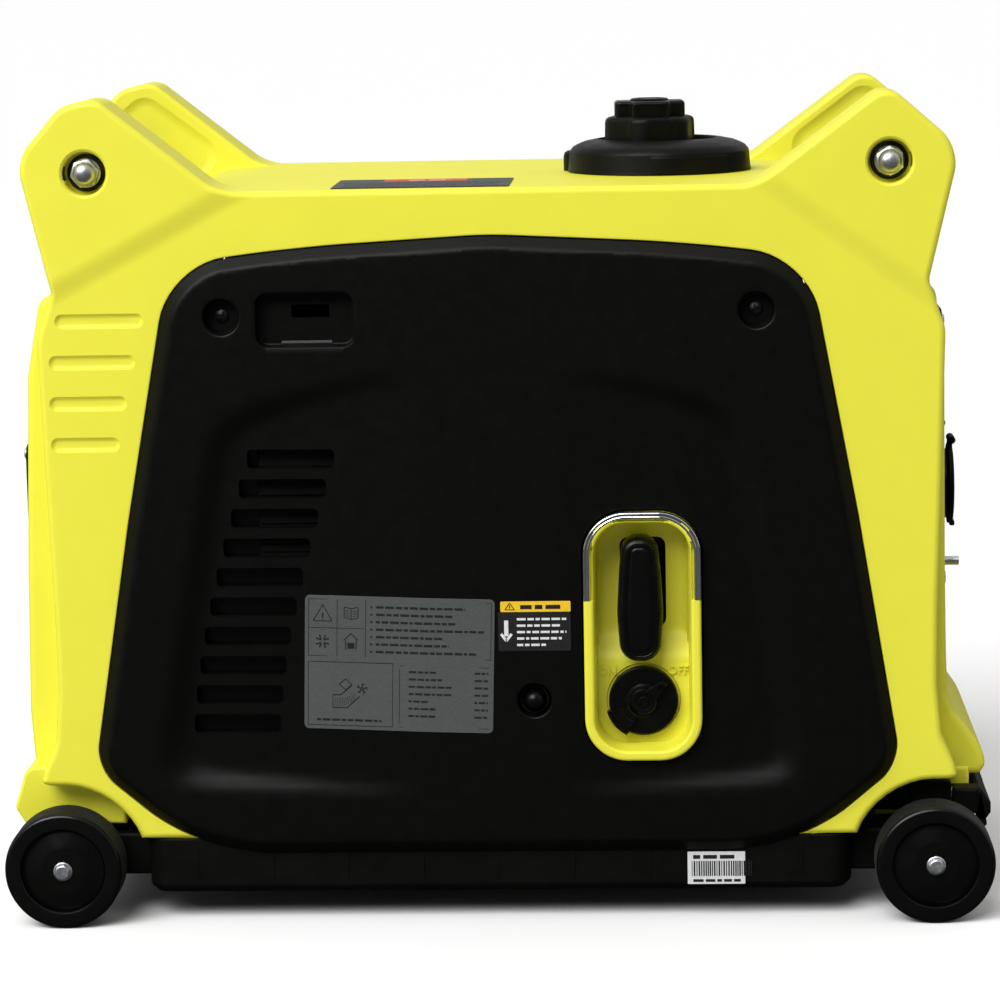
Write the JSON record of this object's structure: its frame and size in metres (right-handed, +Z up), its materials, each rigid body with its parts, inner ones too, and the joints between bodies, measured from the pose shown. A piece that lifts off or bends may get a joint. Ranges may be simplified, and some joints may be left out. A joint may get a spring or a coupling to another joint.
{
  "type": "portable generator",
  "caption": "Closed-case portable inverter generator on four wheels, with carry handles, recoil starter, fuel cap, sockets and a pull-out tow handle.",
  "frame": {"origin": "on the ground under the middle of the case", "axes": "+X along the case to the control end, +Y from the service side to the rear, +Z up"},
  "size_m": [0.6262, 0.335, 0.5214],
  "materials": {
    "shell_yellow": "satin moulded plastic with a fine grain",
    "panel_black": "satin moulded plastic with a fine grain",
    "base_black": "matt moulded plastic",
    "knob_black": "semi-gloss moulded plastic",
    "chrome_trim": "bright plated",
    "zinc_steel": "zinc plated",
    "dark_steel": "blackened steel",
    "muffler_steel": "heat-dulled steel",
    "cast_alloy": "sand cast",
    "wheel_rubber": "satin solid rubber",
    "grip_rubber": "soft rubber",
    "tank_plastic": "blow moulded",
    "winding_copper": "lacquered copper windings",
    "plug_ceramic": "glazed, off-white",
    "rope_cord": "braided nylon",
    "label_silver": "silver satin film",
    "label_print": "printed vinyl",
    "meter_lens": "clear tinted lens",
    "button_green": "moulded plastic",
    "button_red": "moulded plastic"
  },
  "bodies": {
    "root": {"front_shell": "shell_yellow", "rear_shell": "shell_yellow", "exhaust_end_cover": "shell_yellow", "control_end_cover": "shell_yellow", "base_tray": "base_black", "service_panel": "panel_black", "rear_panel": "panel_black", "starter_pocket": "shell_yellow", "pocket_trim": "chrome_trim", "exhaust_grille": "base_black", "muffler": "muffler_steel", "exhaust_outlet": "muffler_steel", "control_panel": "panel_black", "ac_sockets": "knob_black", "dc_socket": "knob_black", "breaker_body": "base_black", "earth_terminal": "zinc_steel", "meter_window": "meter_lens", "filler_collar": "base_black", "fuel_tank": "tank_plastic", "crankcase": "cast_alloy", "cylinder_barrel": "cast_alloy", "cylinder_head": "cast_alloy", "spark_plug": "plug_ceramic", "carburettor": "cast_alloy", "air_cleaner": "base_black", "recoil_housing": "base_black", "stator": "winding_copper", "inverter_module": "cast_alloy", "battery": "tank_plastic", "engine_mounts": "grip_rubber", "handle_rods": "zinc_steel", "handle_grips": "grip_rubber", "ear_washers": "dark_steel", "acorn_nuts": "zinc_steel", "panel_screws": "zinc_steel", "data_plate": "label_silver", "small_labels": "label_print", "wheel_bolts": "zinc_steel", "tow_guides": "base_black"},
    "wheel_front_left": {"wheel_front_left": "wheel_rubber"},
    "wheel_front_right": {"wheel_front_right": "wheel_rubber"},
    "wheel_rear_left": {"wheel_rear_left": "wheel_rubber"},
    "wheel_rear_right": {"wheel_rear_right": "wheel_rubber"},
    "fuel_cap": {"fuel_cap": "knob_black"},
    "vent_knob": {"vent_knob": "knob_black"},
    "switch_knob": {"switch_knob": "knob_black"},
    "recoil": {"recoil_grip": "knob_black", "starter_rope": "rope_cord"},
    "pulley": {"recoil_pulley": "plug_ceramic"},
    "primer": {"primer_bulb": "grip_rubber"},
    "tow_handle": {"tow_bars": "zinc_steel", "tow_grip": "base_black"},
    "rotor": {"rotor": "dark_steel"},
    "start_button": {"start_button": "button_green"},
    "economy": {"economy_rocker": "knob_black"},
    "breaker": {"breaker_button": "button_red"},
    "lid_front": {"socket_lid_front": "knob_black"},
    "lid_rear": {"socket_lid_rear": "knob_black"}
  },
  "joints": [
    {"name": "wheel_front_left_spin", "type": "hinge", "parent": "root", "child": "wheel_front_left", "pos_m": [-0.2756, -0.15, 0.0375], "axis": [0, 1, 0], "continuous": true},
    {"name": "wheel_front_right_spin", "type": "hinge", "parent": "root", "child": "wheel_front_right", "pos_m": [0.2756, -0.15, 0.0375], "axis": [0, 1, 0], "continuous": true},
    {"name": "wheel_rear_left_spin", "type": "hinge", "parent": "root", "child": "wheel_rear_left", "pos_m": [-0.2756, 0.15, 0.0375], "axis": [0, 1, 0], "continuous": true},
    {"name": "wheel_rear_right_spin", "type": "hinge", "parent": "root", "child": "wheel_rear_right", "pos_m": [0.2756, 0.15, 0.0375], "axis": [0, 1, 0], "continuous": true},
    {"name": "fuel_cap_turn", "type": "hinge", "parent": "root", "child": "fuel_cap", "pos_m": [0.101, 0, 0.48], "axis": [0, 0, 1], "range_deg": [0, 120]},
    {"name": "vent_knob_turn", "type": "hinge", "parent": "fuel_cap", "child": "vent_knob", "pos_m": [0.101, 0, 0.5], "axis": [0, 0, 1], "range_deg": [0, 180]},
    {"name": "switch_turn", "type": "hinge", "parent": "root", "child": "switch_knob", "pos_m": [0.0935, -0.135, 0.1393], "axis": [0, -1, 0], "range_deg": [0, 100]},
    {"name": "recoil_pull", "type": "slide", "parent": "root", "child": "recoil", "axis": [0, -1, 0], "range_m": [0, 0.45], "stiffness_N_per_m": 25, "springref_m": -0.05},
    {"name": "pulley_spin", "type": "hinge", "parent": "root", "child": "pulley", "pos_m": [0.096, 0.008, 0.17], "axis": [1, 0, 0], "range_deg": [0, 679]},
    {"name": "primer_press", "type": "slide", "parent": "root", "child": "primer", "axis": [0, 1, 0], "range_m": [0, 0.005], "stiffness_N_per_m": 300},
    {"name": "tow_slide", "type": "slide", "parent": "root", "child": "tow_handle", "axis": [1, 0, 0], "range_m": [0, 0.28]},
    {"name": "rotor_spin", "type": "hinge", "parent": "root", "child": "rotor", "pos_m": [0.04, 0.008, 0.17], "axis": [1, 0, 0], "continuous": true},
    {"name": "start_press", "type": "slide", "parent": "root", "child": "start_button", "axis": [-1, 0, 0], "range_m": [0, 0.003], "stiffness_N_per_m": 500},
    {"name": "economy_rock", "type": "hinge", "parent": "root", "child": "economy", "pos_m": [0.281, 0.052, 0.338], "axis": [0, 1, 0], "range_deg": [-8, 8]},
    {"name": "breaker_press", "type": "slide", "parent": "root", "child": "breaker", "axis": [-1, 0, 0], "range_m": [0, 0.003], "stiffness_N_per_m": 500},
    {"name": "lid_front_open", "type": "hinge", "parent": "root", "child": "lid_front", "pos_m": [0.294, -0.043, 0.291], "axis": [0, -1, 0], "range_deg": [0, 110], "stiffness_Nm_per_rad": 0.03, "springref_deg": -17.19},
    {"name": "lid_rear_open", "type": "hinge", "parent": "root", "child": "lid_rear", "pos_m": [0.294, 0.043, 0.291], "axis": [0, -1, 0], "range_deg": [0, 110], "stiffness_Nm_per_rad": 0.03, "springref_deg": -17.19}
  ],
  "couplings": [
    {"joint": "pulley_spin", "follows": "recoil_pull", "rad_per_m": 26.316}
  ]
}
